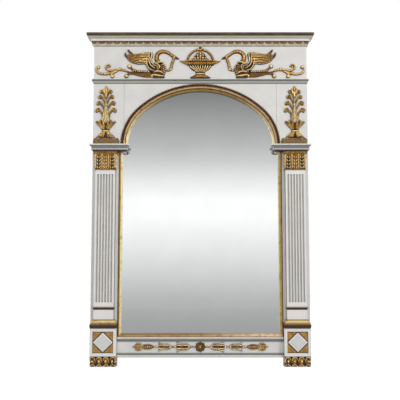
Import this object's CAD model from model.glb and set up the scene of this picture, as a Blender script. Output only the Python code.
import bpy
import numpy as np
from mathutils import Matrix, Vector


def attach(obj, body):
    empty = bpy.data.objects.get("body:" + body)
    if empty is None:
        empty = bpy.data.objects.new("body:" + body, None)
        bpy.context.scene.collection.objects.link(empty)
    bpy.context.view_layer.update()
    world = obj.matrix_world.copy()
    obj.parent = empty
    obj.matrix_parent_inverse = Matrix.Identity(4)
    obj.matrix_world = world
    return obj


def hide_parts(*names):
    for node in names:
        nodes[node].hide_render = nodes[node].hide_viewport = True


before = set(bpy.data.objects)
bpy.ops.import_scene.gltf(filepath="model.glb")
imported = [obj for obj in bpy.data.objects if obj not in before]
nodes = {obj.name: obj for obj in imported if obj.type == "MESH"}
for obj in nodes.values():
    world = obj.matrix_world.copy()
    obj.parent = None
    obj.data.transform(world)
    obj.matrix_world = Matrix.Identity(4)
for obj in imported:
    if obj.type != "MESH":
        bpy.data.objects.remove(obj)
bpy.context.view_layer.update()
mm = 0.001


# ==== Rear frame, backboard and glazing blocks ====================================================
# Sawn softwood battens glued behind the front boards, with a thin softwood backboard and rubbed
# blocks that press the glass.  The wood is bare and has darkened with age.

def colour(text):
    """Linear colour of an sRGB hex value: c / 12.92 up to 0.04045, else ((c + 0.055) / 1.055) to the 2.4."""
    srgb = np.array([int(text[i:i + 2], 16) for i in (1, 3, 5)]) / 255
    linear = np.where(srgb > 0.04045, ((srgb + 0.055) / 1.055) ** 2.4, srgb / 12.92)
    return (*linear.tolist(), 1.0)


def feed(material, node, inputs):
    """Fills the sockets of a node with values or links."""
    for socket, value in inputs.items():
        if isinstance(value, bpy.types.NodeSocket):
            material.node_tree.links.new(value, node.inputs[socket])
        else:
            node.inputs[socket].default_value = value


def add_node(material, kind, inputs, out=0, stops=(), **settings):
    """Adds one shader node with its fields, ramp stops and sockets set, and hands back one output.

    Each stop is a place from 0 to 1 and an sRGB hex colour.  With out None, all outputs come back.
    """
    node = material.node_tree.nodes.new("ShaderNode" + kind)
    for name, value in settings.items():
        setattr(node, name, value)
    if stops:
        elements = node.color_ramp.elements
        for place, text in stops[1:-1]:
            elements.new(place).color = colour(text)
        for element, (place, text) in ((elements[0], stops[0]), (elements[-1], stops[-1])):
            element.position, element.color = place, colour(text)
    feed(material, node, inputs)
    return node.outputs if out is None else node.outputs[out]


def noise(material, place, size_mm, detail=3.0, stretch=(1, 1, 1)):
    """Noise whose patches are about size_mm across; stretch lengthens them along an axis."""
    scale = [1 / (size_mm * mm * longer) for longer in stretch]
    mapped = add_node(material, "Mapping", {"Vector": place, "Scale": scale})
    return add_node(material, "TexNoise", {"Vector": mapped, "Scale": 1.0, "Detail": detail}, "Fac")


def new_finish(name):
    """Node material; its main shader and the object coordinates are handed back with it."""
    material = bpy.data.materials.new(name)
    material.use_nodes = True
    return material, material.node_tree.nodes["Principled BSDF"], add_node(material, "TexCoord", {}, "Object")


def dress(material, shader, base, rough, metal=0.0, relief=None, depth_mm=0.1, strength=0.5):
    """Gives the main shader its colour and gloss, and the relief of a pattern as deep as the real one."""
    feed(material, shader, {"Base Color": base, "Roughness": rough, "Metallic": metal})
    if relief is not None:
        feed(material, shader, {"Normal": add_node(material, "Bump",
            {"Height": relief, "Strength": strength, "Distance": depth_mm * mm})})


def give(material, names):
    """Gives a finish to CAD pieces by name."""
    for name in names:
        nodes[name].data.materials.clear()
        nodes[name].data.materials.append(material)


# Settings of a mix node for two colours: its third output, and 6 and 7 for its colour sockets.
blend = {"out": 2, "data_type": "RGBA"}
multiply = {**blend, "blend_type": "MULTIPLY"}
bare_wood = [(0.3, "#7E5B38"), (0.5, "#A8835A"), (0.68, "#C4A27A")]


def bare_softwood(name, grain):
    """Sawn softwood: brown growth lines along the grain over a pale ground, dull and slightly rough."""
    material, shader, place = new_finish(name)
    lines = noise(material, place, 7, 5.0, tuple(40 if axis == grain else 1 for axis in range(3)))
    wood = add_node(material, "ValToRGB", {"Fac": lines}, stops=bare_wood)
    aged = add_node(material, "ValToRGB", {"Fac": noise(material, place, 160)},
        stops=[(0.35, "#B9AFA2"), (0.65, "#FFFFFF")])
    dress(material, shader, add_node(material, "Mix", {0: 1.0, 6: wood, 7: aged}, **multiply), 0.78, 0.0,
        lines, 0.4, 0.6)
    return material


upright_softwood = bare_softwood("bare_softwood_upright", 2)
level_softwood = bare_softwood("bare_softwood_level", 0)
give(upright_softwood, ["rear_batten_left", "rear_batten_right", "backboard", "glazing_blocks"])
give(level_softwood, ["rear_batten_bottom", "rear_batten_middle", "rear_batten_top"])


# ==== White boards, pilasters and mouldings =======================================================
# Pine boards and run mouldings, gessoed and brushed with off-white oil paint.  The paint has a soft
# sheen, fine brush lines and faint yellowing, and grey dust has settled in every inside corner.

def between(material, place, axis, low, high):
    """Runs from 0 to 1 as the object coordinate's size goes from low to high, in mm."""
    size = add_node(material, "Math", {0: add_node(material, "SeparateXYZ", {0: place}, axis)},
        operation="ABSOLUTE")
    return add_node(material, "MapRange", {"Value": size, "From Min": low * mm, "From Max": high * mm})


# The boards' joint beside the glass, half its width, and where their bare backs begin, in mm.
joint_x, joint_half, board_back = 370, 1.1, 24.2


def oil_paint(name, brushed, ground=("#E0DFDC", "#E8E6E1"), dust="#8F8D88", reach_mm=5.0, crack=False,
        grime=(), bare_back=False):
    """Aged off-white paint: brush lines along one axis, soft stains, dust where corners are close.

    Each entry of grime names an axis, a range on it in mm, and the ramp of tones gathered there.  crack
    draws the filled joint of the boards, and bare_back leaves the wood bare behind board_back.
    """
    material, shader, place = new_finish(name)
    lines = noise(material, place, 1.6, 3.0, tuple(30 if axis == brushed else 1 for axis in range(3)))
    whole = add_node(material, "ValToRGB", {"Fac": noise(material, place, 70, 4.0)},
        stops=[(0.35, ground[0]), (0.65, ground[1])])
    corner = add_node(material, "AmbientOcclusion", {"Distance": reach_mm * mm}, "AO", samples=8)
    soils = [(corner, [(0.35, dust), (0.9, "#FFFFFF")])]
    soils += [(between(material, place, axis, low, high), greys) for axis, low, high, greys in grime]
    for factor, stops in soils:
        soil = add_node(material, "ValToRGB", {"Fac": factor}, stops=stops)
        whole = add_node(material, "Mix", {0: 1.0, 6: whole, 7: soil}, **multiply)
    if crack:
        out = add_node(material, "Math", {0: add_node(material, "SeparateXYZ", {0: place}, 0)},
            operation="ABSOLUTE")
        joint = add_node(material, "Math", {0: out, 1: joint_x * mm, 2: joint_half * mm}, operation="COMPARE")
        whole = add_node(material, "Mix", {0: joint, 6: whole, 7: colour("#B9B6AE")}, **blend)
    if bare_back:
        behind = between(material, place, 1, board_back - 0.1, board_back + 0.1)
        wood = add_node(material, "ValToRGB", {"Fac": lines}, stops=bare_wood)
        whole = add_node(material, "Mix", {0: behind, 6: whole, 7: wood}, **blend)
    dress(material, shader, whole, 0.45, 0.0, lines, 0.12)
    return material


paint_upright = oil_paint("off_white_oil_paint_upright", 2, ("#ECEBE8", "#F2F0EC"), "#3E3C38", 7.0)
paint_shaft = oil_paint("off_white_oil_paint_shafts", 2, ("#ECEBE8", "#F2F0EC"), "#55524D", 7.0, grime=[(1,
    15.4, 20, [(0.0, "#C4C1BB"), (0.3, "#DAD8D3"), (0.6, "#F8F6F2"), (0.85, "#FFFFFF")]), (2, 261, 281,
    [(0.0, "#FFFFFF"), (0.1, "#6A5646"), (0.35, "#4A3626"), (0.7, "#F2DECF"), (0.92, "#F4E6DA"),
    (1.0, "#FFFFFF")])])
paint_board = oil_paint("off_white_oil_paint_boards", 2, crack=True, bare_back=True)
paint_level = oil_paint("off_white_oil_paint_level", 0, bare_back=True)
paint_cornice = oil_paint("off_white_oil_paint_cornice", 0, ("#F0EDE6", "#F8F5EE"), "#B4AFA5", 8.0, grime=[(2,
    1563, 1584,
    [(0.0, "#FFFFFF"), (0.28, "#FAFAF6"), (0.5, "#E8E9E8"), (0.74, "#CCCCC8"), (0.92, "#BEB6A8")])])
paint_band = oil_paint("off_white_oil_paint_band", 0, ("#D6D4CE", "#DEDAD2"), "#77756F", 6.0, grime=[(2, 1352,
    1374, [(0.0, "#8E8F8C"), (0.2, "#A5A5A0"), (0.34, "#E8E6E0"), (0.56, "#D6D6D3"), (0.64, "#868A8C"),
    (0.86, "#7E8386"), (1.0, "#F6F6F4")])])
paint_apron = oil_paint("off_white_oil_paint_apron", 0, ("#E6E5E1", "#EEECE6"), "#77756F", 6.0, grime=[(2, 41,
    135, [(0.0, "#F4F4F2"), (0.1, "#ECECEA"), (0.14, "#B4B6B6"), (0.2, "#A2A5A6"), (0.82, "#8E9192"),
    (0.885, "#7C8082"), (0.9, "#FFFFFF"), (1.0, "#FFFFFF")])])
paint_rail = oil_paint("off_white_oil_paint_rail", 0, bare_back=True, grime=[(2, 60, 119,
    [(0.0, "#C4C4C2"), (0.05, "#FFFFFF"), (0.84, "#FFFFFF"), (0.9, "#A9ACAD"), (1.0, "#8E9294")])])
give(paint_board, ["stile_left", "stile_right", "spandrel_left", "spandrel_right"])
give(paint_level, ["frieze_board"])
give(paint_rail, ["bottom_rail"])
give(paint_cornice, ["cornice_front", "cornice_returns"])
give(paint_band, ["frieze_band_front", "frieze_band_returns"])
give(paint_apron, ["apron_beads"])
give(paint_shaft, ["shaft_left", "shaft_right"])
give(paint_upright, ["plinth_left", "plinth_right"])


# ==== Mirror glass ================================================================================
# One silvered glass plate behind the boards.  Silvering gives a clear, slightly grey reflection,
# with a trace of age clouding that is too faint to blur it.

silvered, shader, place = new_finish("silvered_glass")
dress(silvered, shader, add_node(silvered, "ValToRGB", {"Fac": noise(silvered, place, 120, 4.0)},
    stops=[(0.3, "#EFF1F1"), (0.7, "#F3F4F4")]), 0.0, 1.0)
give(silvered, ["mirror_glass"])


# ==== Gilt slips round the glass ==================================================================
# Softwood slips, water gilt on clay and burnished.  The left slip is a bright cream gold, the right
# one more olive, and the bottom one runs from brown gold to pale cream; outside edges are bronze.

def leaf_gold(material, shader, place, gold, reach_mm=4.0, dirt="#5A4026", metal=0.2, rough=0.36):
    """Gold leaf: laps and rubbed patches over a colour, and brown dirt where corners are close."""
    worn = add_node(material, "ValToRGB", {"Fac": noise(material, place, 22, 4.0)},
        stops=[(0.32, "#C9A184"), (0.5, "#FFFFFF"), (0.7, "#FFF3D6")])
    corner = add_node(material, "AmbientOcclusion", {"Distance": reach_mm * mm}, "AO", samples=8)
    soiled = add_node(material, "ValToRGB", {"Fac": corner}, stops=[(0.2, dirt), (0.75, "#FFFFFF")])
    toned = add_node(material, "Mix", {0: 0.7, 6: gold, 7: worn}, **multiply)
    dress(material, shader, add_node(material, "Mix", {0: 1.0, 6: toned, 7: soiled}, **multiply), rough,
        metal, noise(material, place, 1.5, 2.0))


def banded_gold(name, axis, low, high, stops):
    """Gold leaf on a run piece, toned in bands along one axis."""
    material, shader, place = new_finish(name)
    across = between(material, place, axis, low, high)
    leaf_gold(material, shader, place, add_node(material, "ValToRGB", {"Fac": across}, stops=stops))
    return material


sight_half, sill, slip_width = 375, 135, 16
give(banded_gold("burnished_gilt_slip_left", 0, sight_half, sight_half + slip_width,
    [(0.0, "#F4EDC4"), (0.36, "#F6E9AC"), (0.47, "#C29A50"), (0.66, "#8A6426"), (1.0, "#4A3014")]),
    ["slip_left"])
give(banded_gold("burnished_gilt_slip_right", 0, sight_half, sight_half + slip_width, [(0.0, "#E2DEB4"),
    (0.22, "#C2B26C"), (0.5, "#BE9F58"), (0.72, "#A07C40"), (0.84, "#5A3A18"), (1.0, "#3A2410")]),
    ["slip_right"])

low_gold, shader, place = new_finish("burnished_gilt_bottom_slip")
across = between(low_gold, place, 2, sill, sill + slip_width)
to_right = add_node(low_gold, "MapRange",
    {"Value": add_node(low_gold, "SeparateXYZ", {0: place}, 0), "From Min": 0.0, "From Max": 0.3})
toned = add_node(low_gold, "ValToRGB", {"Fac": across},
    stops=[(0.0, "#A88A4E"), (0.35, "#BC9660"), (0.6, "#A87E4C"), (0.85, "#8A6C38"), (1.0, "#6E4A28")])
pale = add_node(low_gold, "ValToRGB", {"Fac": across},
    stops=[(0.0, "#C8A07C"), (0.4, "#F0D4B8"), (0.8, "#E4C4A4"), (1.0, "#B89878")])
leaf_gold(low_gold, shader, place, add_node(low_gold, "Mix", {0: to_right, 6: toned, 7: pale}, **blend))
give(low_gold, ["slip_bottom"])


# ==== Arch moulding ===============================================================================
# Two bent lengths of gilt moulding that meet at the crown: a sloping lip over the glass, a smooth
# pale round, and an outside that is cut like a slack rope and toned to dark brown.

def closed_surface(points, crown, coat=0):
    """Closed skin of a grid in mm: rings of points along the rows, whose first and last row are poles.

    Each ring joins the next with four-sided faces, each pole joins its ring with triangles, and the
    sign of the volume tells whether the faces have to be turned outwards.  crown goes from 0 in the
    hollows to 1 on the ridges and drives the tone of the gilding.
    """
    rings, columns = points.shape[0] - 2, points.shape[1]
    flat = np.concatenate([points[1:-1].reshape(-1, 3), points[0, :1], points[-1, :1]])
    corner = np.arange((rings - 1) * columns).reshape(rings - 1, columns)
    beside = np.roll(corner, -1, axis=1)
    quads = np.stack([corner, beside, beside + columns, corner + columns], -1).reshape(-1, 4)
    low = np.arange(columns)
    high = low + (rings - 1) * columns
    pole = np.full(columns, rings * columns)
    fans = np.concatenate([np.stack([np.roll(low, -1), low, pole], -1),
        np.stack([high, np.roll(high, -1), pole + 1], -1)])
    halves = np.concatenate([quads[:, :3], quads[:, [0, 2, 3]], fans])
    a, b, c = (flat[halves[:, side]] for side in range(3))
    if np.sum(np.cross(a, b) * c) < 0:
        quads, fans = quads[:, ::-1], fans[:, ::-1]
    crown = np.concatenate([crown[1:-1].reshape(-1), crown[0, :1], crown[-1, :1]])
    return flat * mm, quads, fans, crown, coat


def carved(name, surfaces, coats, stands_for, crease=40):
    """One piece made of closed surfaces, in place of CAD nodes, with the crown value on its points."""
    starts = np.cumsum([0] + [len(surface[0]) for surface in surfaces])
    points = np.concatenate([surface[0] for surface in surfaces])
    faces, tones = [], []
    for start, (_, quads, fans, _, coat) in zip(starts, surfaces):
        faces += (quads + start).tolist() + (fans + start).tolist()
        tones += [coat] * (len(quads) + len(fans))
    mesh = bpy.data.meshes.new(name)
    mesh.from_pydata(points.tolist(), [], faces)
    mesh.attributes.new("crown", "FLOAT", "POINT").data.foreach_set("value",
        np.concatenate([surface[3] for surface in surfaces]).astype(np.float32))
    for coat in coats:
        mesh.materials.append(coat)
    mesh.polygons.foreach_set("material_index", tones)
    mesh.shade_smooth()
    mesh.set_sharp_from_angle(angle=np.radians(crease))
    piece = bpy.data.objects.new(name, mesh)
    bpy.context.scene.collection.objects.link(piece)
    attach(piece, "frame")
    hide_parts(*stands_for)


def crown_value(material):
    """The carver's ridge value that each new gilt piece carries on its points."""
    return add_node(material, "Attribute", {}, "Fac", attribute_name="crown")


def capped(grid):
    """The grid with a pole before its first ring and after its last, each at the mean of that ring."""
    poles = np.broadcast_to(grid[[0, -1]].mean(axis=1, keepdims=True), grid[[0, -1]].shape)
    return np.concatenate([poles[:1], grid, poles[1:]])


def half_round(start, width, foot, rise, climb, tones, count):
    """Bead of a section: foot, plus rise times sin(pi part) to the power 0.8, plus climb times part."""
    part = np.linspace(0, 1, count)
    return np.stack([start + width * part, foot + rise * np.sin(np.pi * part) ** 0.8 + climb * part,
        np.linspace(*tones, count)], -1)


# The sight's arcs in mm, the way from the boards' face back to the wall, and the cut of the rope.
springing, crown_centre, crown_radius, side_x, side_radius = 1049, 901.6, 415.4, 139.6, 212.4
join_angle = np.radians(43.4)
wall = 45
section_middle, arch_steps = 17, 420
rope_pitch, rope_lean, rope_depth, outside_tone, rope_foot = 12, 11, 0.7, 0.47, 47.5

# Width from the sight edge, depth from the wall, and the tone there; the round and bead are arcs.
arch_section = np.concatenate([
    [(0, 20.5, 0.0), (0, 31, 0.02), (1.6, 36, 0.08), (4, 40.5, 0.14), (6.5, 45, 0.2), (8.5, 48, 0.24),
     (8.6, 46.6, 0.26), (10.4, 46.5, 0.28)],
    half_round(10.6, 14.4, 46.6, 8.2, 2.3, (0.3, 0.62), 17),
    [(25.2, 47, 0.64), (26.7, 47, 0.66)],
    half_round(26.9, 7.1, 47, 5.4, 0, (0.7, 1), 9),
    [(34, 44.9, 1.0), (8.2, 44.9, 0.5), (8.2, 20.5, 0.5)]])


def arch_half(side):
    """The section carried along the side arc and then the crown arc, with its outside cut like rope.

    The cut of the rope pushes the outside in and out as the sine of the way along plus the way across.
    """
    side_turn = np.pi / 2 - join_angle
    reach, crown_reach = side_radius + section_middle, crown_radius + section_middle
    lengths = np.array([reach * side_turn, crown_reach * join_angle])
    way = np.linspace(0, lengths.sum(), arch_steps)
    on_side = way < lengths[0]
    turn = np.where(on_side, way / reach, side_turn + (way - lengths[0]) / crown_reach)
    centre_x = np.where(on_side, side_x, 0.0)[:, None]
    centre_z = np.where(on_side, springing, crown_centre)[:, None]
    radius = np.where(on_side, side_radius, crown_radius)[:, None]
    width, depth, tone = arch_section.T
    twist = np.sin(2 * np.pi * (way[:, None] / rope_pitch + width / rope_lean))
    outside = tone > outside_tone
    roped = outside & (depth > rope_foot)
    depth = depth + rope_depth * twist * roped
    out = (radius + width) * np.cos(turn)[:, None] + centre_x
    up = (radius + width) * np.sin(turn)[:, None] + centre_z
    out[-1] = 0
    points = np.stack([side * out, wall - depth, up], -1)
    tones = np.where(roped, 0.74 + 0.22 * twist, np.where(outside, 0.5, tone))
    return closed_surface(capped(points), np.concatenate([tones[:1], tones, tones[-1:]]))


arch_gold, shader, place = new_finish("gilt_arch_moulding")
tone = crown_value(arch_gold)
near_crown = add_node(arch_gold, "ValToRGB", {"Fac": tone}, stops=[(0.0, "#2E2010"), (0.04, "#7A6422"),
    (0.14, "#A88A2E"), (0.22, "#8C6A28"), (0.26, "#45290F"), (0.3, "#6A4524"), (0.34, "#BE9660"),
    (0.4, "#E2C490"), (0.46, "#AE8454"), (0.5, "#1C1008"), (0.62, "#2E1A0C"), (0.76, "#6E4A28"),
    (0.92, "#B48A58"), (0.98, "#7A5434")])
near_foot = add_node(arch_gold, "ValToRGB", {"Fac": tone}, stops=[(0.0, "#F4E9B4"), (0.05, "#FFF8D0"),
    (0.2, "#FFF2BE"), (0.25, "#D9BE7E"), (0.28, "#8A6236"), (0.33, "#C79A62"), (0.41, "#E6C48C"),
    (0.47, "#A87848"), (0.5, "#2A180C"), (0.62, "#4A2C16"), (0.8, "#6E4728"), (0.95, "#8A5E38")])
height = between(arch_gold, place, 2, 1090, 1290)
leaf_gold(arch_gold, shader, place,
    add_node(arch_gold, "Mix", {0: height, 6: near_foot, 7: near_crown}, **blend), 2.5)
for side, hand in ((-1, "left"), (1, "right")):
    carved("carved_arch_moulding_" + hand, [arch_half(side)], [arch_gold], ["arch_moulding_" + hand])


# ==== Leaf moulding under the cornice =============================================================
# A run ovolo, painted stone white, under a row of hanging leaves that are carved, gilt and rubbed
# with brown, with a pale dart between each pair.  It turns both corners of the frieze.

def smooth_line(rows, along):
    """Curve through all rows: cubic spans whose slopes are the central differences over the chords.

    Every column is carried along, so a width or a height changes as smoothly as the place does.
    """
    rows = np.array(rows, float)
    chord = np.concatenate([[0], np.cumsum(np.linalg.norm(np.diff(rows[:, :2], axis=0), axis=1))])
    slope = np.gradient(rows, chord, axis=0)
    way = np.asarray(along) * chord[-1]
    span = np.clip(np.searchsorted(chord, way, side="right") - 1, 0, len(chord) - 2)
    length = (chord[span + 1] - chord[span])[:, None]
    t = (way - chord[span])[:, None] / length
    return ((2 * t ** 3 - 3 * t ** 2 + 1) * rows[span] + (t ** 3 - 2 * t ** 2 + t) * length * slope[span]
            + (3 * t ** 2 - 2 * t ** 3) * rows[span + 1] + (t ** 3 - t ** 2) * length * slope[span + 1]), way


class Carving(list):
    """Closed surfaces of one piece; its seat places (across, up, rise) in mm on a face of the object."""

    def __init__(self, seat=None, surfaces=()):
        super().__init__(surfaces)
        self.seat = seat

    def stroke(self, rows, steps=22, groove=0.0, fullness=0.65, square=1.0, blunt=False, ripple=None,
            tone=1.0, coat=0, turned=False):
        """Carved stem, leaf, feather or bar: a domed section with a flat back, carried along a smooth line.

        Each row is (across, up, half width, height) in mm.  The section's way across is the half width
        times cos t to the power square, and its rise is the height times sin t to the power fullness, for
        t from 0 to 180 degrees.  Ends shrink as quarter circles, or are cut off where blunt.  A groove
        lowers the middle line as a bell curve, and ripple(along, across) multiplies the rise.  A turned
        outline keeps its rows as they are, with their sharp steps, and heads straight up.
        """
        along = (1 - np.cos(np.linspace(0, np.pi, steps))) / 2
        if turned:
            line = np.array(rows, float)
            steps, way = len(line), line[:, 1] - line[0, 1]
            heading = np.tile([0.0, 1.0], (steps, 1))
        else:
            line, way = smooth_line(rows, np.linspace(0, 1, steps) if blunt else along)
            heading = np.gradient(line[:, :2], axis=0)
        heading /= np.linalg.norm(heading, axis=1, keepdims=True)
        half, height = np.maximum(line[:, 2:3], 0.05), np.maximum(line[:, 3:4], 0.2)
        near = np.minimum(way / half[0], (way[-1] - way) / half[-1])[:, None]
        shrink = np.ones_like(half) if blunt else np.sqrt(np.clip(1 - (1 - np.clip(near, 0, 1)) ** 2, 0, 1))
        turn = np.linspace(0, np.pi, 11)[None]
        flat = np.sign(np.cos(turn)) * np.abs(np.cos(turn)) ** square
        rise = np.clip(np.sin(turn), 0, 1) ** fullness * (1 - groove * np.exp(-(flat / 0.28) ** 2))
        if ripple is not None:
            rise = rise * ripple((way / way[-1])[:, None], flat)
        rise = np.broadcast_to(rise, (steps, 11)) * shrink ** 0.8
        crown = np.clip(rise * tone, 0, 1)
        back = np.full((steps, 1), -0.2)
        flat = np.concatenate([np.broadcast_to(flat, (steps, 11)), back * 5, -back * 5], axis=1)
        rise = np.concatenate([rise * height, back, back], axis=1)
        crown = np.concatenate([crown, back * 0, back * 0], axis=1)
        grid = np.stack([line[:, :1] - heading[:, 1:] * flat * half * shrink,
            line[:, 1:2] + heading[:, :1] * flat * half * shrink, rise], -1)
        if blunt:
            grid, crown = capped(grid), np.concatenate([crown[:1], crown, crown[-1:]])
        else:
            grid[[0, -1]] = grid[[0, -1]].mean(axis=1, keepdims=True)
        self.append(closed_surface(self.seat(grid), crown, coat))

    def boss(self, across, up, radii, height, turn=0.0, tone=1.0, sides=14):
        """Bead, fruit or button: an ellipse that grows as sin q, and rises as cos q to the power 0.7.

        Beads are rubbed bright nearly down to their foot, so the crown value is the root of the rise.
        """
        polar = np.linspace(0, np.pi / 2, 7)[:, None]
        round_ = np.linspace(0, 2 * np.pi, sides, endpoint=False)[None]
        a = radii[0] * np.sin(polar) * np.cos(round_)
        b = radii[1] * np.sin(polar) * np.sin(round_)
        rise = np.clip(np.cos(polar), 0, 1) ** 0.7 * np.ones_like(round_)
        grid = np.stack([across + a * np.cos(turn) - b * np.sin(turn),
            up + a * np.sin(turn) + b * np.cos(turn), height * rise], -1)
        grid = np.concatenate([grid, np.broadcast_to([across, up, -0.2], (1, sides, 3))])
        self.append(closed_surface(self.seat(grid), np.concatenate([rise, rise[-1:] * 0]) ** 0.4 * tone))


def front_seat(middle, base, side=1):
    """Places (across, up, rise) on the boards' front face; side -1 mirrors it to the left."""
    return lambda grid: np.stack([side * (middle + grid[..., 0]), -grid[..., 2], base + grid[..., 1]], -1)


def side_seat(face, base, side):
    """Places (back, up, rise) on an upright face that looks left or right."""
    return lambda grid: np.stack([side * (face + grid[..., 2]), grid[..., 0], base + grid[..., 1]], -1)


def run_round_frieze(section, half, tone):
    """A section of (proud, up) carried round three sides of the frieze, mitred at the two front corners."""
    proud, up = section.T
    corners = [(-1, wall, 0), (-1, 0, 1), (1, 0, 1), (1, wall, 0)]
    grid = capped(np.stack([np.stack([sign * (half + proud), back - proud * turned, up], -1)
                            for sign, back, turned in corners]))
    return closed_surface(grid, np.full(grid.shape[:2], tone))


leaf_base, leaf_top, leaf_half, leaf_end = 1538, 1563, 519, 531
stone_paint, shader, place = new_finish("stone_white_paint_ovolo")
band = between(stone_paint, place, 2, leaf_base, leaf_top)
shade = add_node(stone_paint, "ValToRGB", {"Fac": band}, stops=[(0.0, "#A39C8C"), (0.12, "#CFC7B4"),
    (0.3, "#DAD3C4"), (0.48, "#C9BFAC"), (0.84, "#C2B49A"), (0.88, "#463622"), (1.0, "#3A2C18")])
soil = add_node(stone_paint, "ValToRGB", {"Fac": noise(stone_paint, place, 12, 4.0)},
    stops=[(0.35, "#DDD6CC"), (0.65, "#FFFFFF")])
dress(stone_paint, shader, add_node(stone_paint, "Mix", {0: 1.0, 6: shade, 7: soil}, **multiply), 0.5)


def carved_gold(name, stops, reach_mm=5.0):
    """Carved and gilt wood: leaf bright on the ridges, rubbed brown in the hollows, worn in patches."""
    material, shader, place = new_finish(name)
    speck = add_node(material, "Math", {0: noise(material, place, 5), 1: 0.5}, operation="SUBTRACT")
    ridge = add_node(material, "Math", {0: speck, 1: 0.45, 2: crown_value(material)},
        operation="MULTIPLY_ADD")
    leaf_gold(material, shader, place, add_node(material, "ValToRGB", {"Fac": ridge}, stops=stops), reach_mm,
        "#4A2E16", 0.35, 0.34)
    return material


antique_gold = carved_gold("antique_gilt_carving",
    [(0.3, "#1A0E04"), (0.56, "#502E08"), (0.75, "#93661C"), (0.88, "#CC9C44"), (0.98, "#FFF2BC")],
    reach_mm=2.6)
deep_gold = carved_gold("deep_antique_gilt_carving",
    [(0.3, "#1A0C02"), (0.56, "#4C2804"), (0.75, "#8C5A0E"), (0.88, "#C28A2E"), (0.98, "#FFECAC")],
    reach_mm=2.6)
brown_gold = carved_gold("brown_gilt_leaves",
    [(0.2, "#140B04"), (0.7, "#302008"), (0.9, "#503A18"), (1.0, "#84663A")])

ovolo = np.array([(0, 0.2), (1.5, 0.2), (2, 2.5), (5.5, 5.5), (7.5, 9), (8.6, 12.5), (9.6, 19), (10.6, 22),
    (12.3, 22.4), (12.3, 24.9), (0, 24.9)])
ovolo[:, 1] += leaf_base
moulding = Carving(surfaces=[run_round_frieze(ovolo, leaf_half, 0.5)])
leaf_pitch, leaf_count = 37.0, 29
rows_of_leaves = [(front_seat(0, leaf_base), (np.arange(leaf_count) - (leaf_count - 1) / 2) * leaf_pitch,
    leaf_pitch)]
rows_of_leaves += [(side_seat(leaf_half, leaf_base, side), np.array([6.0, 31.0]), 27.0) for side in (-1, 1)]
for seat, places, pitch in rows_of_leaves:
    moulding.seat = seat
    for leaf_x in places:
        half = min(pitch / 2 + 0.2, leaf_end - abs(leaf_x))
        moulding.stroke([(leaf_x, 24.8, half, 12.4), (leaf_x, 21, half, 12.4),
            (leaf_x, 17.5, half * 0.93, 12.3), (leaf_x, 14.5, half * 0.76, 12),
            (leaf_x, 12, half * 0.4, 10.8)], steps=10, groove=0.04, fullness=0.25, blunt=True, coat=1)
    for dart_x in places[:-1] + pitch / 2:
        moulding.stroke([(dart_x, 19.5, 0.8, 12), (dart_x, 15.5, 3, 12.4), (dart_x, 11.5, 5, 11.4)], steps=7)
carved("carved_leaf_moulding", moulding, [stone_paint, brown_gold],
    ["leaf_moulding_front", "leaf_moulding_returns"])


# ==== Imposts =====================================================================================
# White painted blocks over the capitals: a square top edge, a hollow and a fillet, and a deep
# shadow gap under it.  They carry the arch and run on past the edge of the glass.

impost_base, impost_in, impost_out = 1015, 341, 530
paint_impost = oil_paint("off_white_oil_paint_imposts", 0, ("#E2E0DC", "#EAE8E3"), "#6F6D68", 8.0, grime=[
    (2, impost_base, springing, [(0.0, "#3A2A1E"), (0.2, "#3A2A1E"), (0.23, "#FFFFFF"), (0.31, "#FFFFFF"),
                                 (0.34, "#A4A6A6"), (0.6, "#9C9E9E"), (0.8, "#8E9295"), (0.83, "#FFFFFF"),
                                 (1.0, "#FFFFFF")])])
impost_section = np.array([(0, 0.1), (30, 0.1), (30, 6.2), (36, 6.6), (37.5, 7.4), (37.5, 12.6), (35, 13.2),
    (35.4, 17), (37.6, 21.5), (41, 25.5), (44, 27.8), (45, 28.2), (45, 34), (0, 34)])
for side, hand in ((-1, "left"), (1, "right")):
    proud, up = impost_section.T
    inset = wall - proud
    corners = ((impost_in, 1, 0), (impost_in, 1, 1), (impost_out, -1, 1), (impost_out, -1, 0))
    grid = capped(np.stack([np.stack([side * (edge + way_in * inset), -proud * front, impost_base + up], -1)
                            for edge, way_in, front in corners], 1))
    carved("run_impost_" + hand, [closed_surface(grid, np.ones(grid.shape[:2]))], [paint_impost],
        ["impost_" + hand], crease=30)


# ==== Cap of the cornice ==========================================================================
# A thin rounded board that closes the top, gilt and then toned to a dark walnut brown, with gold
# showing through where it was dusted.

dark_gold, shader, place = new_finish("dark_gilt_cap")
streaks = noise(dark_gold, place, 9, 4.0, (6, 6, 1))
tones = add_node(dark_gold, "ValToRGB", {"Fac": streaks},
    stops=[(0.3, "#3E2D1A"), (0.55, "#54432C"), (0.75, "#6C5737")])
leaf_gold(dark_gold, shader, place, tones, 6.0, rough=0.45)
give(dark_gold, ["cornice_cap"])


# ==== Rings, base mouldings and plinth panels of the pilasters ====================================
# Gilt strips pinned round the pilasters.  The undersides and the fat torus are toned brown, the
# slopes keep a light olive gold, and the sunk panels behind the diamonds are plain gold leaf.

give(banded_gold("gilt_shaft_rings", 2, 268, 275,
    [(0.0, "#1C1008"), (0.74, "#34200F"), (0.86, "#9A7454"), (1.0, "#E8CDB4")]), ["shaft_rings"])
give(banded_gold("gilt_base_mouldings", 2, 177, 216, [(0.0, "#280F04"), (0.3, "#381804"), (0.46, "#6C3A0A"),
    (0.54, "#A88C4E"), (0.62, "#8E7434"), (0.72, "#DCC888"), (0.84, "#F0E2AC"), (0.94, "#B99A63"),
    (1.0, "#A58A5A")]), ["base_moulding_left", "base_moulding_right"])

plinth_x, plinth_z, diamond_wide, diamond_high, panel_half = 0.455, 0.1125, 0.046, 0.0445, 0.049


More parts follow.
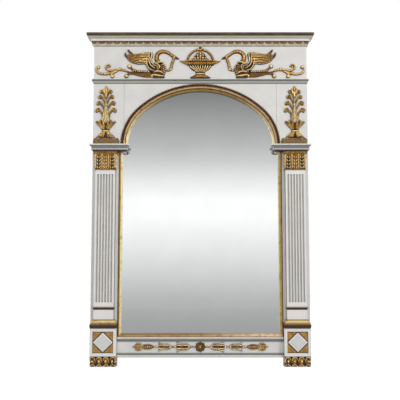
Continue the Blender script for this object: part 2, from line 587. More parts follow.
def from_diamond(material, place):
    """Shares of the way out from a plinth's middle: 1 on the diamond's outline, and 1 on the panel's edge.

    The first is the way up plus the way across times high over wide, all over the diamond's half height.
    """
    offs = []
    for axis, middle in ((0, plinth_x), (2, plinth_z)):
        size = add_node(material, "Math", {0: add_node(material, "SeparateXYZ", {0: place}, axis)},
            operation="ABSOLUTE")
        off = add_node(material, "Math", {0: size, 1: middle}, operation="SUBTRACT")
        offs.append(add_node(material, "Math", {0: off}, operation="ABSOLUTE"))
    slanted = add_node(material, "Math", {0: offs[0], 1: diamond_high / diamond_wide, 2: offs[1]},
        operation="MULTIPLY_ADD")
    farther = add_node(material, "Math", {0: offs[0], 1: offs[1]}, operation="MAXIMUM")
    return (add_node(material, "Math", {0: slanted, 1: diamond_high}, operation="DIVIDE"),
        add_node(material, "Math", {0: farther, 1: panel_half}, operation="DIVIDE"))


panel_gold, shader, place = new_finish("gilt_plinth_panels")
laps = noise(panel_gold, place, 14, 4.0, (2, 1, 1))
gold = add_node(panel_gold, "ValToRGB", {"Fac": laps},
    stops=[(0.3, "#98702E"), (0.5, "#AC843E"), (0.7, "#C09A50")])
diamond, panel = from_diamond(panel_gold, place)
scored = add_node(panel_gold, "Mix", {0: 1.0, 6: gold, 7: colour("#3E2A16")}, **multiply)
near_line = add_node(panel_gold, "MapRange", {"Value": diamond, "From Min": 1.13, "From Max": 1.17})
edge_line = add_node(panel_gold, "MapRange", {"Value": panel, "From Min": 0.97, "From Max": 0.93})
clear = add_node(panel_gold, "Math", {0: near_line, 1: edge_line}, operation="MULTIPLY")
gold = add_node(panel_gold, "Mix", {0: clear, 6: scored, 7: gold}, **blend)
leaf_gold(panel_gold, shader, place, gold, 5.0)
give(panel_gold, ["plinth_panels"])

diamond_paint, shader, place = new_finish("off_white_oil_paint_diamonds")
stains = add_node(diamond_paint, "ValToRGB", {"Fac": noise(diamond_paint, place, 40, 4.0)},
    stops=[(0.35, "#DADAD8"), (0.65, "#E0DFDC")])
bevel = add_node(diamond_paint, "MapRange",
    {"Value": from_diamond(diamond_paint, place)[0], "From Min": 0.88, "From Max": 0.91})
edged = add_node(diamond_paint, "Mix", {0: bevel, 6: stains, 7: colour("#FFFDF2")}, **blend)
dress(diamond_paint, shader, edged, 0.45, 0.0, noise(diamond_paint, place, 1.6, 3.0, (1, 1, 30)), 0.12)
give(diamond_paint, ["diamond_left", "diamond_right"])


# ==== Capitals ====================================================================================
# Blocks of limewood that flare to the impost, each carved with three acanthus leaves, plain ribs
# between them and a row of curls at the top, then gilt and rubbed back.

column, shaft_top = 455, 925


def cheek_seat(side, cheek, face, middle, base, narrowing=1):
    """Places (across, up, rise) on a cheek of a pilaster's block; narrowing squeezes the way across."""
    return lambda grid: np.stack([side * column + cheek * (face + grid[..., 2]),
        middle + grid[..., 0] * narrowing, base + grid[..., 1]], -1)


def capital_front(work, leaves, pitch, base):
    """Leaves of four pairs of lobes with a dark middle, and plain ribs between them that end in curls."""
    for leaf in range(leaves):
        x = (leaf - (leaves - 1) / 2) * pitch
        for lobe in range(4):
            z = 8 + 16.2 * lobe
            for hand in (-1, 1):
                work.stroke([(x + hand * 1.8, z, 2.2, base + 3.5), (x + hand * 5, z + 4.5, 3.9, base + 7.5),
                    (x + hand * 7.8, z + 10, 2.9, base + 7), (x + hand * 8, z + 13.5, 1.2, base + 4)],
                    steps=12, fullness=0.5)
        work.stroke([(x, 70, 2, base + 6), (x, 77, 3.2, base + 8), (x, 84, 2, base + 8)], steps=10, tone=0.8)
    for rib in range(leaves + 1):
        x = (rib - leaves / 2) * pitch
        x = np.clip(x, 1.5 - 0.5 * leaves * pitch, 0.5 * leaves * pitch - 1.5)
        work.stroke([(x, 5, 4.4, base + 5.6), (x, 40, 4.6, base + 6.4), (x, 66, 5.2, base + 8),
            (x, 82, 5.6, base + 10)], steps=14, fullness=0.6, tone=0.95)
        work.stroke([(x - 8.5, 79, 1.8, base + 8), (x - 2, 84.5, 3.6, base + 11.6),
            (x + 5, 84.5, 3.6, base + 11.6), (x + 10, 78, 2, base + 9)], steps=14, tone=0.9)


for side, hand in ((-1, "left"), (1, "right")):
    block = [(0, 0, 50, 22), (0, 4.4, 50, 22), (0, 4.5, 46.5, 18.5), (0, 45, 46.8, 19), (0, 58, 47.5, 19.5),
        (0, 68, 49.5, 21), (0, 77, 53, 24), (0, 85, 57, 28), (0, 89.8, 57.4, 29.5)]
    work = Carving(front_seat(column, shaft_top, side))
    work.stroke(block, fullness=0.12, square=0.12, blunt=True, turned=True, tone=0.76)
    capital_front(work, 3, 31.5, 19.5)
    for cheek in (-1, 1):
        work.seat = cheek_seat(side, cheek, 26.5, -10.2, shaft_top, 0.72)
        capital_front(work, 1, 22, 19.5)
    carved("carved_capital_" + hand, work, [antique_gold], ["capital_" + hand])


# ==== Feet ========================================================================================
# Blocks carved as four turned lobes side by side, each with a hooked leaf over a bulb and a flared
# base, gilt, with the gaps left dark.

def foot_lobe(work, x, half, depth):
    """One lobe: a turned outline, a leaf that hooks over its bulb, and a flared base with a bead."""
    work.stroke([(x, 0.2, half, depth - 5), (x, 4, half * 0.98, depth - 4), (x, 10, half * 0.8, depth - 8),
        (x, 18, half * 0.9, depth - 6), (x, 28, half * 0.98, depth - 5), (x, 37, half * 0.9, depth - 6),
        (x, 41, half * 0.84, depth - 8), (x, 47.8, half * 0.96, depth - 4)], steps=34, fullness=0.55,
        blunt=True, tone=0.8)
    work.boss(x + half * 0.14, 25, (half * 0.54, 9.5), depth + 0.2)
    work.stroke([(x - half * 0.78, 17, 2, depth - 6), (x - half * 0.74, 30, 3.8, depth - 2),
        (x - half * 0.42, 41, 4.6, depth), (x + half * 0.22, 43.5, 4.6, depth + 0.2),
        (x + half * 0.74, 37, 3.8, depth), (x + half * 0.68, 27, 2.2, depth - 3)], steps=26, fullness=0.8)
    work.boss(x + half * 0.1, 10.5, (half * 0.4, 4), depth - 0.6)
    for hand in (-1, 1):
        work.stroke([(x + hand * 2, 8.5, 1.5, depth - 4), (x + hand * half * 0.5, 6.5, 3.8, depth - 0.6),
            (x + hand * half * 0.84, 2.2, 2, depth - 1)], steps=12)


for side, hand in ((-1, "left"), (1, "right")):
    work = Carving(front_seat(column, 0, side))
    work.stroke([(0, 0.2, 61, 20), (0, 47.8, 61, 20)], fullness=0.1, square=0.1, blunt=True, turned=True,
        tone=0.38)
    for lobe in range(4):
        foot_lobe(work, (lobe - 1.5) * 31.4, 15.6, 32.8)
    for cheek in (-1, 1):
        work.seat = cheek_seat(side, cheek, 46.4, -16.2, 0)
        foot_lobe(work, 0, 14, 16.4)
    carved("carved_foot_" + hand, work, [deep_gold], ["foot_" + hand])


# ==== Rosette and husk chains of the apron ========================================================
# Composition ornament, pressed in boxwood moulds and glued to the apron: a double rosette with a
# chain of bellflowers, links and a closed bud on each side, gilt over a red ground.

apron_middle = 89.5
red_gold = carved_gold("red_ground_gilt",
    [(0.3, "#1C0E04"), (0.6, "#46290C"), (0.8, "#7C561E"), (0.92, "#C49C58"), (0.99, "#FFF4CC")],
    reach_mm=2.6)


def rosette(work, radius, petals, height):
    """Two rings of petals round a beaded eye; each petal is a grooved leaf that widens outwards."""
    for ring, reach, half, rise in ((0, 1.0, 0.25, 0.8), (1, 0.62, 0.15, 0.95)):
        for petal in range(petals):
            angle = 2 * np.pi * (petal + ring / 2) / petals
            outward = np.array([np.cos(angle), np.sin(angle)]) * radius * reach
            rows = [(*(outward * 0.2), half * radius * 0.3, height * rise * 0.7),
                (*(outward * 0.62), half * radius * 0.95, height * rise),
                (*(outward * 0.86), half * radius, height * rise * 0.95),
                (*(outward * 0.99), half * radius * 0.4, height * rise * 0.6)]
            work.stroke(rows, steps=14, groove=0.4, fullness=0.9)
    work.boss(0, 0, (radius * 0.86, radius * 0.86), height * 0.5, tone=0.4)
    work.boss(0, 0, (radius * 0.2, radius * 0.2), height)
    for bead in range(petals):
        angle = 2 * np.pi * bead / petals
        work.boss(radius * 0.3 * np.cos(angle), radius * 0.3 * np.sin(angle), (radius * 0.08, radius * 0.08),
            height * 0.93, sides=8)


work = Carving(front_seat(0, apron_middle))
rosette(work, 24.8, 8, 9.4)
carved("carved_apron_rosette", work, [red_gold], ["apron_rosette"])


def bellflower(work, start, end, half):
    """Bell that opens away from the rosette: four long petals whose tips curl out, slots between them."""
    length = end - start
    for lean in (-1.06, -0.52, 0.52, 1.06):
        wide = 0.13 * half
        work.stroke([(start, lean * 2.5, 1.6, 4.5), (start + length * 0.28, lean * half * 0.5, wide, 6.8),
            (start + length * 0.62, lean * half * 0.5, wide * 1.15, 7),
            (end - 6, lean * half * 0.64, wide * 1.2, 7.1), (end, lean * half * 0.84, wide * 0.5, 5)],
            steps=18, fullness=0.9)
    for hand in (-1, 1):
        work.stroke([(end - 16, hand * half * 0.56, 2.2, 6), (end - 5, hand * half * 0.7, 3.2, 7.1),
            (end - 1.5, hand * half * 0.86, 3, 7.1), (end - 6, hand * half * 0.95, 1.8, 6)], steps=14)
        work.boss(end - 4, hand * half * 0.3, (4, 3.4), 7.1, sides=10)
    work.stroke([(start + length * 0.2, 0, half * 0.3, 3.5), (start + length * 0.6, 0, half * 0.55, 3.5),
        (end - 3, 0, half * 0.66, 3.5)], steps=10, tone=0.5)
    for knot in range(3):
        work.boss(start + length * (0.32 + 0.17 * knot), 0, (3, 1.8), 6, sides=8, tone=0.85)
    work.stroke([(start - 1, 0, 3.4, 5), (start + 6, 0, 6, 7), (start + 11, 0, 3, 6)], steps=10)


for side, hand in ((-1, "left"), (1, "right")):
    work = Carving(front_seat(0, apron_middle, side))
    work.boss(32.5, 0, (5, 5), 7)
    work.boss(41, 0, (4, 4), 6.6)
    bellflower(work, 46, 111, 25)
    work.boss(118, 0, (6.4, 5.4), 7)
    work.boss(128.5, 0, (4.6, 4.6), 6.6)
    bellflower(work, 135, 196, 21)
    work.boss(203, 0, (6, 5), 7)
    work.boss(213, 0, (5, 4.6), 6.6)
    work.stroke([(222, 0, 5, 3.5), (245, 0, 10, 3.8), (270, 0, 8, 3.6), (290, 0, 14, 3.8), (306, 0, 6, 3.5)],
        steps=16, tone=0.5)
    for lean in (-0.9, 0, 0.9):
        work.stroke([(219, lean, 2.5, 5), (238, lean * 8, 4.5, 7), (258, lean * 8, 4.4, 7),
            (276, lean * 4, 2.5, 6)], steps=16, groove=0.3)
    for knot in range(5):
        work.boss(230 + knot * 9, 0, (3.4, 3), 7.1, sides=10)
    for lean in (-1, -0.5, 0.5, 1):
        work.stroke([(270, lean * 3, 3, 6), (284, lean * 14, 3.8, 7), (298, lean * 14.5, 3.4, 6.8),
            (310 - abs(lean) * 3, lean * 9, 2, 5)], steps=14, groove=0.15)
    work.stroke([(272, 0, 3, 6.5), (292, 0, 4.6, 7.1), (308, 0, 3.6, 6.6), (320.5, 0, 1, 4)], steps=16,
        groove=0.15)
    work.stroke([(28.2, 0, 2, 4), (219, 0, 1.6, 4)], steps=4, tone=0.5)
    carved("carved_husk_chain_" + hand, work, [red_gold], ["husk_chain_" + hand])


# ==== Urn =========================================================================================
# Composition urn on the middle of the frieze: a shallow gadrooned bowl with drawn-out lips on a
# spread foot, under a bound hoop with a ball finial, and heaped with fruit.

frieze_middle = 1456


def twisted(turns, lean, depth=0.22):
    """Rope cut: the rise dips by a share of the sine of the way along plus the way across."""
    return lambda along, across: 1 - depth * (0.5 + 0.5 * np.sin(2 * np.pi * turns * along + lean * across))


def arc_rows(middle, radius, degrees, half, height, count):
    """Rows for a stroke along an arc of a circle."""
    angle = np.radians(np.linspace(*degrees, count))
    return np.stack([middle[0] + radius * np.cos(angle), middle[1] + radius * np.sin(angle),
        np.full(count, half), np.full(count, height)], -1)


urn = Carving(front_seat(0, frieze_middle))
urn.stroke([(0, -76.8, 50, 8.5), (0, -73.5, 50, 9.5), (0, -71, 46, 9), (0, -66, 36, 8.5), (0, -60, 25, 8),
    (0, -54, 20, 8), (0, -50, 21, 8.5)], steps=26, square=0.6, blunt=True, tone=0.75)
urn.stroke([(-21, -55.2, 3.6, 10), (0, -55.4, 4.2, 11.6), (21, -55.2, 3.6, 10)], steps=14)
urn.stroke([(-23, -49.5, 1.8, 9), (0, -49.5, 1.8, 10), (23, -49.5, 1.8, 9)], steps=14, tone=0.3)
urn.stroke([(0, -49, 20, 6.5), (0, -45, 22, 7.5), (0, -36, 40, 8.5), (0, -24, 51, 9), (0, -14, 58, 9),
    (0, -8, 66, 8)], steps=24, blunt=True, tone=0.2)
for gadroon in range(-4, 5):
    lean = gadroon / 4.35
    fall = 1 - 0.32 * lean ** 2
    urn.stroke([(lean * 17, -47, 2, 10 * fall), (lean * 30 + 3, -38, 3, 11.2 * fall),
        (lean * 44 + 2, -27, 3.9, 11.8 * fall), (lean * 53, -17, 4.2, 11 * fall),
        (lean * 54, -12, 3, 9 * fall)], steps=16, fullness=0.9)
urn.stroke([(-66, -12, 1.2, 8), (0, -12.6, 1.6, 10), (66, -12, 1.2, 8)], steps=20, tone=0.3)
urn.stroke([(-84, 1.5, 2.5, 6.5), (-60, 0, 6, 9), (0, -0.5, 6.8, 10), (60, 0, 6, 9), (84, 1.5, 2.5, 6.5)],
    steps=26, tone=0.84)
for dot in range(-7, 8):
    urn.boss(dot * 8.6, -8 + 0.04 * dot ** 2, (3.9, 3), 11.8 - 0.03 * dot ** 2, sides=10)
for hand in (-1, 1):
    urn.stroke([(hand * 58, 3, 9, 8), (hand * 76, 4, 6.5, 8), (hand * 90, 6.5, 3, 6.5),
        (hand * 100.5, 9, 1, 4)], steps=16, tone=0.85)
    urn.stroke([(hand * 62, -9, 1.6, 8), (hand * 82, -1, 1.4, 7.5), (hand * 98, 7.5, 0.8, 5)], steps=12)
urn.stroke([(-76, 7, 2.2, 8), (0, 6.2, 2.6, 10.6), (76, 7, 2.2, 8)], steps=20, tone=0.25)
for bead in range(-6, 7):
    urn.boss(bead * 11, 12 - 0.02 * bead ** 2, (5, 4.6), 12 - 0.03 * bead ** 2, sides=12)
urn.stroke(arc_rows((0, 2.6), 63.2, (10, 170), 5.4, 9.5, 17), steps=60, ripple=twisted(26, 2.2, 0.3))
urn.stroke([(0, 14, 5.2, 9), (0, 40, 4.4, 10), (0, 62, 5.4, 10.5)], steps=16, ripple=twisted(6, 1.5))
urn.boss(0, 71.5, (8.6, 8), 11.9, tone=0.55)
urn.stroke([(-10, 65.5, 2, 8), (0, 66, 3, 11), (10, 65.5, 2, 8)], steps=12)
for hand in (-1, 1):
    urn.stroke([(hand * 3, 66, 2, 8), (hand * 9, 70, 3, 9.5), (hand * 13, 74.5, 1.2, 6)], steps=10)
    for x, z, r in ((12.5, 24, 6.2), (25.5, 23.5, 5.6), (14, 36.5, 6), (27, 34.5, 4.6), (13, 48.5, 4.8),
            (37, 21.5, 4.2)):
        urn.boss(hand * x, z, (r, r), 10.8 - 0.05 * x, sides=10)
    urn.stroke([(hand * 9, 18, 5, 6), (hand * 17, 32, 9, 6.5), (hand * 14, 47, 3, 5)], steps=12, tone=0.25)
urn.stroke([(-24, -67.5, 2, 9), (8, -68, 2.4, 11.6), (36, -69, 1.6, 9)], steps=14)
urn.stroke([(-47, -75, 2, 8), (0, -75.2, 2.6, 10), (47, -75, 2, 8)], steps=14, tone=0.35)
carved("carved_urn", urn, [deep_gold], ["urn"])


# ==== Swans =======================================================================================
# A pair of composition swans that drink from the urn: ringed neck, knobbed breast, raised wing of long
# feathers behind three cords, ribbon from bill to breast, and a tail that turns into scrolls.

def feather_fan(work, low, high, feathers, height, short=0.0):
    """Long feathers between two edges: each lies a fixed share of the way from one edge to the other.

    Both edges are smooth lines, a feather's half width is its share of their distance apart, and short
    is how much earlier the middle feathers end.
    """
    for feather in range(feathers):
        part = (feather + 0.5) / feathers
        share = np.linspace(0, 1 - short * np.sin(np.pi * part), 8)
        start, end = smooth_line(low, share)[0], smooth_line(high, share)[0]
        line = start + (end - start) * part
        apart = np.linalg.norm(end - start, axis=1) / feathers
        rise = height + 1.2 * np.sin(np.pi * part) - np.linspace(0, 2.0, 8)
        work.stroke(np.stack([line[:, 0], line[:, 1], np.maximum(apart * 0.58, 2.2), rise], -1), steps=26,
            fullness=1.7, tone=0.96)


def ringed(along, across):
    """Rings of the neck: the rise dips by up to a tenth, as a sine squared, on the first 0.72 of the way."""
    return 1 - 0.1 * (along < 0.72) * (0.5 + 0.5 * np.sin(74 * along + 2.4 * across)) ** 2


def swan(work):
    """Wing, body, neck, ribbon and tail of a swan that faces the urn."""
    feather_fan(work, [(256, -10), (275, -7), (300, -8), (325, -3), (345, 7), (360, 28), (365, 49)],
        [(244, 50), (262, 51), (288, 48), (310, 44), (328, 46), (342, 55), (352, 65)], 7, 9.6, 0.16)
    feather_fan(work, [(252, -6), (272, -2), (292, 2), (305, 6)],
        [(240, 50), (256, 52), (276, 50), (296, 46)], 4, 10.6)
    for rows in ([(330, 44, 4, 8), (342, 51, 4.4, 9), (352, 63, 3, 9), (354, 67, 1.2, 5)],
            [(350, 20, 4, 8), (361, 32, 4.6, 9), (366.5, 47, 3, 9), (366, 52, 1, 5)]):
        work.stroke(rows, steps=16, tone=0.6)
    cords = (
        [(247, 51, 3.5, 9), (237, 46, 5, 10.5), (237, 32, 5, 10.6), (241, 18, 4.6, 10.4), (240, 6, 4, 10),
         (234, -4, 3.6, 9.6), (227, -12, 2.6, 8.5)],
        [(250, 44, 3.2, 9), (249, 28, 3.8, 11.6), (250, 8, 3.8, 11.8), (244, -9, 4, 11.8),
         (232, -21, 3.6, 11.4), (219, -28, 3, 10)],
        [(262, 38, 2.8, 8.5), (262, 22, 3.4, 11.2), (262, 2, 3.6, 11.8), (257, -17, 3.8, 11.8),
         (243, -34, 3.8, 11.6), (222, -40, 3, 10)])
    work.stroke([(252, 26, 10, 7), (253, 14, 14, 8), (252, -6, 14, 8), (240, -26, 11, 8), (224, -34, 7, 7)],
        steps=22, tone=0.35)
    for rows in cords:
        work.stroke(rows, steps=26, fullness=0.9)
    work.stroke([(166, -36, 10, 6), (176, -36, 28, 8), (195, -38, 36, 8.6), (213, -42, 32, 8.4),
        (228, -46, 26, 7.5), (240, -50, 16, 6)], steps=24, tone=0.5)
    for row, across in enumerate((4.5, 13, 21.5)):
        for knob in range(6 - row):
            z = -8 - row * 3 - knob * 9.4
            x = np.interp(z, [-73, -54, -35, -17, 0], [177, 173, 165, 168, 181]) + across
            work.boss(x, z, (4.4, 4.2), 11.4, tone=1.0 - 0.06 * row, sides=10)
    for rows in (
            [(222, -4, 2.4, 9), (207, -8, 4, 11), (199, -19, 4.4, 11.4), (203, -31, 3.6, 10.5),
             (214, -36, 2, 8.5)],
            [(221, -14, 2, 9), (211, -16, 3, 11), (208, -23, 2.8, 10.6), (213, -28, 1.6, 8.5)],
            [(228, -47, 3, 9), (212, -43, 5, 11), (194, -45, 5.4, 11.4), (181, -53, 3.6, 10)]):
        work.stroke(rows, steps=20, fullness=0.9)
    work.stroke([(226, -3, 2, 8), (205, 1, 4.5, 11.8), (187, 3, 4, 11), (180, -1, 1.5, 7)], steps=14)
    work.stroke([(203, 12, 3, 9), (212, 7, 4, 11), (223, -2, 2, 8)], steps=10, tone=0.8)
    work.stroke([(174, -73, 3, 9), (200, -72.5, 3.6, 10), (230, -73, 3, 9)], steps=14, tone=0.7)
    work.boss(235, -66, (6.4, 7), 11.8)
    work.stroke([(176, -66, 3, 9), (200, -65, 5.4, 11.6), (222, -61, 5, 11), (236, -60, 2, 9)], steps=16)
    work.stroke([(200, -4, 13.5, 8), (211, 14, 11.4, 9), (213, 31, 10.4, 9.5), (205.5, 46.5, 10.2, 9.5),
        (190, 55.5, 9.8, 9.5), (170, 55, 9, 9.5), (150, 45.5, 7.8, 9.5), (138, 36.5, 8, 9.5),
        (124, 27.5, 7.4, 8.5), (112, 22.2, 5, 7.5), (102.3, 17.5, 1.2, 4)], steps=110, fullness=1.0,
        tone=0.93, ripple=ringed)
    work.stroke([(150, 49, 1.6, 9.5), (141, 42, 2.2, 11), (133, 37, 1.6, 10)], steps=14)
    work.stroke([(126, 29, 4, 9), (114, 22.6, 3.6, 9), (103, 17.8, 1, 5)], steps=12, tone=0.55)
    work.boss(137, 37.5, (3, 2.6), 11.4, tone=0.3, sides=10)
    work.stroke([(129, 24, 5.6, 7), (131.5, 14, 6.4, 8), (138, -3, 6.6, 7.5), (141, -18, 6.8, 7.5),
        (145, -30, 7.2, 7.5), (154, -37, 6.2, 7), (166, -39, 4, 6)], steps=40, ripple=twisted(9, 1.5, 0.25))
    work.boss(128.5, 23.5, (6, 4.6), 9.5)
    work.boss(144, -33, (7, 4.6), 8.6)
    work.stroke([(347, -13, 4, 8), (340, -24, 5, 9.5), (325, -36, 5, 9.5), (300, -42, 5, 9),
        (270, -43.5, 5, 9), (240, -43, 4, 9)], steps=26, tone=0.8)
    work.stroke([(242, -51, 2, 8), (290, -50.5, 2.4, 9.5), (334, -46, 1.6, 8)], steps=20, tone=0.15)
    for bead in range(9):
        work.boss(252 + bead * 9, -45.5 + 0.06 * bead ** 2, (3.4, 6), 12, turn=-0.25, sides=10)
    work.boss(346, -18, (9.8, 10.2), 11.4)
    work.stroke([(236, -60, 13, 7), (262, -60, 12, 8), (290, -58.5, 9.5, 8), (318, -54, 6.5, 8),
        (340, -49.5, 5, 8), (356, -45, 4.5, 7.5)], steps=26, groove=0.2, tone=0.8)
    work.stroke([(240, -70, 3, 8), (270, -68.5, 3.6, 9.5), (300, -62.5, 3.4, 9.5), (330, -55, 3.2, 9.5),
        (348, -56, 4, 9.5), (360, -63, 3.5, 9)], steps=24, tone=0.78)
    work.boss(360, -66.5, (9.8, 9.8), 11)


for side, hand in ((-1, "left"), (1, "right")):
    work = Carving(front_seat(0, frieze_middle, side))
    swan(work)
    carved("carved_swan_" + hand, work, [deep_gold], ["swan_" + hand])


# ==== Tail scrolls ================================================================================
# Composition sprays that go on from the swans' tails: a knop, a long stem that ends in a bud, and a
# curl above and below it.

for side, hand in ((-1, "left"), (1, "right")):
    spray = Carving(front_seat(0, frieze_middle, side))
    spray.stroke([(356, -44, 4, 7), (372, -37.5, 5.5, 8), (388, -34, 5, 8)], steps=14, groove=0.15)
    spray.boss(391, -32.5, (5, 9.5), 9.5)
    spray.boss(399, -33.5, (3.4, 7), 9)
    spray.stroke([(398, -35, 5.5, 8), (415, -36, 5, 8.5), (432, -38, 6, 8.5), (450, -36, 4.6, 8.5),
        (460, -27, 3.6, 8.2), (458, -14, 3.4, 8), (449, -9, 3, 8), (440, -14, 2.8, 7.5), (441, -22, 2.4, 7)],
        steps=44, groove=0.12)
    spray.boss(448.5, -19.5, (4.4, 4.4), 9.2)
    spray.stroke([(402, -40, 4, 7.5), (418, -46, 6, 8.5), (440, -52, 7, 8.8), (465, -56, 6, 8.6),
        (487, -54, 5.4, 8.4), (502, -44.5, 4.8, 8), (506, -31, 3.4, 7.5), (501, -21, 3, 7)], steps=44,
        groove=0.12)
    spray.boss(497.5, -22, (8.6, 9), 9.5)
    spray.stroke([(412, -43, 3, 8), (424, -51, 4.4, 9), (433, -60, 3.4, 9), (431, -69, 3, 8)], steps=18)
    spray.boss(428, -67, (9.4, 9.4), 9.5)
    carved("carved_tail_scroll_" + hand, spray, [deep_gold], ["tail_scroll_" + hand])


# ==== Anthemions and their bases ==================================================================
# Tall honeysuckle ornaments on the stiles: a bud over four pairs of curled leaves and slender middle
# leaves, a calyx, a bound waist and a splay of leaves, standing on a plain gilt block.

def anthemion(work):
    """Bud, curled pairs, middle leaves, calyx, waist and splayed foot, from the top down."""
    work.stroke([(0, 232, 5, 8), (0, 256, 5.5, 9), (0, 272, 7, 9.4), (0, 284, 4.6, 9), (0, 292.8, 1, 4)],
        steps=20, groove=0.15)
    for hand in (-1, 1):
        work.stroke([(hand * 3, 250, 3, 7), (hand * 9, 263, 4.6, 8.6), (hand * 9.5, 274, 3.4, 8),
            (hand * 4, 283, 1.2, 5)], steps=16, groove=0.12)
    for reach, up, root, fat in ((21, 262, 34, 0.92), (29, 236, 42, 1.0), (36.5, 205, 46, 1.06),
            (42, 170, 48, 1.12)):
        for hand in (-1, 1):
            work.stroke([(hand * 3.5, up - root, 3 * fat, 6.5),
                (hand * reach * 0.28, up - root * 0.52, 4 * fat, 8),
                (hand * reach * 0.5, up - 11, 3.8 * fat, 8.6), (hand * reach * 0.84, up + 3, 6 * fat, 9),
                (hand * (reach + 1.5), up - 1, 7.4 * fat, 9),
                (hand * (reach + 1), up - 10 * fat, 3.6 * fat, 7.5)], steps=26, groove=0.4)
            work.stroke([(hand * reach * 0.5, up - 3, 1.4, 8.5),
                (hand * reach * 0.84, up + 10.5 * fat, 1.7, 9.6), (hand * (reach + 6.5), up + 6, 1.7, 9.4),
                (hand * (reach + 7.5), up - 4, 1.3, 7.5)], steps=16)
    for bottom, top, spread, half in ((96, 240, 0, 4), (104, 212, 5.5, 2.7), (98, 182, 10, 2.8),
            (94, 156, 15, 2.8)):
        for hand in (-1, 1) if spread else (1,):
            work.stroke([(hand * spread * 0.5, bottom, half * 0.7, 7),
                (hand * spread, (bottom + top) / 2, half, 9.3), (hand * spread * 0.7, top, half * 0.35, 6.5)],
                steps=22, fullness=0.9)
    work.stroke([(0, 64, 15, 6.5), (0, 84, 21, 7.5), (0, 106, 23, 7.5), (0, 128, 16, 6.5), (0, 150, 10, 6)],
        steps=22, tone=0.42)
    for hand in (-1, 1):
        for rows in ([(3, 74, 3, 7.5), (10, 96, 6.5, 9.5), (9, 118, 5, 9.4), (3, 132, 1.4, 6)],
                [(9, 74, 4, 7.5), (20, 92, 6, 9.4), (27, 108, 5.4, 9.2), (24, 126, 1.4, 6)],
                [(13, 78, 3, 7.5), (26, 92, 3.8, 9.2), (37, 104, 3.8, 8.8), (50, 114, 1, 4)],
                [(24, 112, 3, 7), (33, 112, 4.2, 8.6), (42, 116, 2.6, 7), (46, 119, 0.8, 4)],
                [(6, 120, 2.6, 7), (14, 134, 4, 9), (20, 146, 1.6, 7)]):
            work.stroke([(hand * x, z, half, rise) for x, z, half, rise in rows], steps=18, groove=0.3)
        for lean, half in ((0.2, 4.2), (0.58, 4.6), (1.0, 4.6)):
            work.stroke([(hand * (3 + lean * 8), 68, 3, 8), (hand * (4 + lean * 15), 56, half, 9.4),
                (hand * (6 + lean * 26), 45, half, 9.4), (hand * (8 + lean * 33), 39, half * 0.7, 8.6),
                (hand * (9 + lean * 36), 35.4, 1.6, 6)], steps=18, groove=0.2)
    work.stroke([(-17, 70, 3.6, 8.5), (0, 69, 4.6, 9.6), (17, 70, 3.6, 8.5)], steps=14)
    work.stroke([(0, 35.4, 30, 5.5), (0, 50, 24, 6), (0, 66, 14, 6)], steps=12, tone=0.3, blunt=True)


block_gold = banded_gold("gilt_anthemion_base", 2, springing, springing + 35,
    [(0.0, "#75602E"), (0.45, "#7A6238"), (0.75, "#846446"), (1.0, "#A0805A")])
bases = Carving()
for side, hand in ((-1, "left"), (1, "right")):
    work = Carving(front_seat(column + 2.5, springing, side))
    anthemion(work)
    carved("carved_anthemion_" + hand, work, [antique_gold], ["anthemion_" + hand])
    bases.seat = front_seat(column, springing, side)
    bases.stroke([(0, 0, 60, 9.8), (0, 12, 59.6, 9.6), (0, 20, 58.5, 8.6), (0, 24, 56, 7.6),
        (0, 28, 52, 7.2)], steps=20, fullness=0.08, square=0.1, blunt=True, tone=0.7)
    for end in (-1, 1):
        bases.stroke([(end * 60, 6, 2, 6), (end * 57, 24, 5, 9.4), (end * 52, 32, 4.2, 9.4),
            (end * 44, 27, 2.4, 7)], steps=16, tone=0.8)
    bases.stroke([(-46, 27, 4, 8), (0, 30, 4.8, 9), (46, 27, 4, 8)], steps=16, tone=0.6)
carved("carved_anthemion_bases", bases, [block_gold], ["anthemion_bases"])


# ==== Hangers =====================================================================================
# Steel D rings on pressed straps, each screwed to the back of a side batten, and the steel screws of
# the backboard.  The steel is dull, with brown spots of old rust.

steel, shader, place = new_finish("dull_steel")
spots = add_node(steel, "ValToRGB", {"Fac": noise(steel, place, 4, 5.0)},
    stops=[(0.5, "#8C8B88"), (0.64, "#77685A"), (0.75, "#5E4432")])
dress(steel, shader, spots, 0.42, 0.9, noise(steel, place, 1.2, 2.0))
give(steel, ["hanger_straps", "hanger_screws", "hanger_ring_left", "hanger_ring_right", "backboard_screws"])


# ==== Floor, backdrop, lamps and camera ===========================================================
# A plain white floor and surroundings, a soft lamp from the upper right and a weaker one from the
# left.  A graded grey card far in front of the glass is what the mirror reflects.

def flat_sheet(name, corners, material):
    """Staged sheet between four corners, in metres."""
    mesh = bpy.data.meshes.new(name)
    mesh.from_pydata(corners, [], [(0, 1, 2, 3)])
    mesh.materials.append(material)
    sheet = bpy.data.objects.new(name, mesh)
    bpy.context.scene.collection.objects.link(sheet)


def seen_or_reflected(material):
    """1 for camera, glossy and transmission rays, and 0 for the rest."""
    rays = add_node(material, "LightPath", {}, None)
    some = add_node(material, "Math", {0: rays["Is Camera Ray"], 1: rays["Is Glossy Ray"]},
        operation="MAXIMUM")
    return add_node(material, "Math", {0: some, 1: rays["Is Transmission Ray"]}, operation="MAXIMUM")


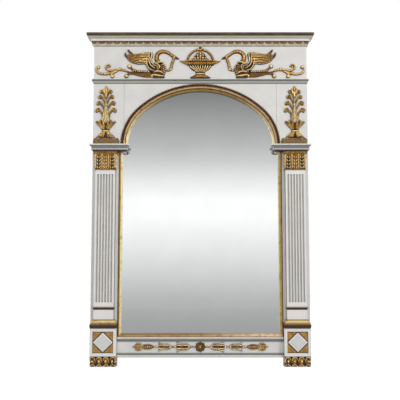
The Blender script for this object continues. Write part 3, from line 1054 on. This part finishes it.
white = (1, 1, 1, 1)
floor_white = bpy.data.materials.new("white_floor")
floor_white.use_nodes = True
floor_white.node_tree.nodes.clear()
matt = add_node(floor_white, "BsdfDiffuse", {"Color": (0.42, 0.42, 0.42, 1)})
strength = add_node(floor_white, "Math", {0: seen_or_reflected(floor_white), 1: 0.88}, operation="MULTIPLY")
glow = add_node(floor_white, "Emission", {"Color": white, "Strength": strength})
both = add_node(floor_white, "AddShader", {0: matt, 1: glow})
add_node(floor_white, "OutputMaterial", {"Surface": both}, None)
flat_sheet("floor", [(-9, -1.2, 0), (9, -1.2, 0), (9, 9, 0), (-9, 9, 0)], floor_white)


def grey_card(name, finish, axis, low, high, greys, corners):
    """Sheet that is white to the camera and shows the mirror greys that run along one axis, in metres."""
    material, _, place = new_finish(finish)
    along = add_node(material, "SeparateXYZ", {0: place}, axis)
    part = add_node(material, "MapRange", {"Value": along, "From Min": low, "From Max": high})
    graded = add_node(material, "ValToRGB", {"Fac": part}, stops=greys)
    camera_ray = add_node(material, "LightPath", {}, "Is Camera Ray")
    seen = add_node(material, "Mix", {0: camera_ray, 6: graded, 7: white}, **blend)
    bright = add_node(material, "Emission", {"Color": seen, "Strength": 1.12})
    feed(material, material.node_tree.nodes["Material Output"], {"Surface": bright})
    flat_sheet(name, corners, material)


grey_card("card", "graded_card", 2, -0.5, 3.5, [(0.125, "#B2B2B2"), (0.152, "#B7B7B7"), (0.31, "#E7E7E7"),
    (0.422, "#FFFFFF"), (0.475, "#FFFFFF"), (0.54, "#EAEAEA"), (0.605, "#CCCCCC"), (0.652, "#BABABA"),
    (0.832, "#7F7F7F"), (1.0, "#606060")], [(-12, -6, -0.5), (12, -6, -0.5), (12, -6, 3.5), (-12, -6, 3.5)])
grey_card("card_floor", "grey_card_floor", 1, -6.0, -1.2,
    [(0.0, "#B0B0B0"), (0.84, "#A0A0A0"), (1.0, "#999999")],
    [(-12, -6, -0.002), (12, -6, -0.002), (12, -1.2, -0.002), (-12, -1.2, -0.002)])

world = bpy.data.worlds.new("white_surroundings")
world.use_nodes = True
bpy.context.scene.world = world
strength = add_node(world, "MapRange", {"Value": seen_or_reflected(world), "To Min": 0.5, "To Max": 1.0})
feed(world, world.node_tree.nodes["Background"], {"Color": white, "Strength": strength})


def soft_lamp(name, place_at, target, size, watts):
    """Square area lamp that looks at a target."""
    data = bpy.data.lights.new(name, "AREA")
    data.size, data.energy = size, watts
    lamp = bpy.data.objects.new(name, data)
    bpy.context.scene.collection.objects.link(lamp)
    lamp.location = place_at
    lamp.rotation_euler = (Vector(target) - Vector(place_at)).to_track_quat("-Z", "Y").to_euler()


soft_lamp("key", (3.4, -4.0, 2.9), (0, 0, 0.75), 1.5, 110)
soft_lamp("fill", (-1.6, -3.2, 1.2), (0, 0, 0.7), 1.8, 18)

camera = bpy.data.objects.new("camera", bpy.data.cameras.new("camera"))
bpy.context.scene.collection.objects.link(camera)
camera.data.sensor_width, camera.data.lens = 36, 66.5
camera.location = (-0.0014, -3.524, 0.425)
camera.rotation_euler = (np.radians(90 + 5.8), 0, 0)
bpy.context.scene.camera = camera
bpy.context.scene.view_settings.view_transform = "Standard"
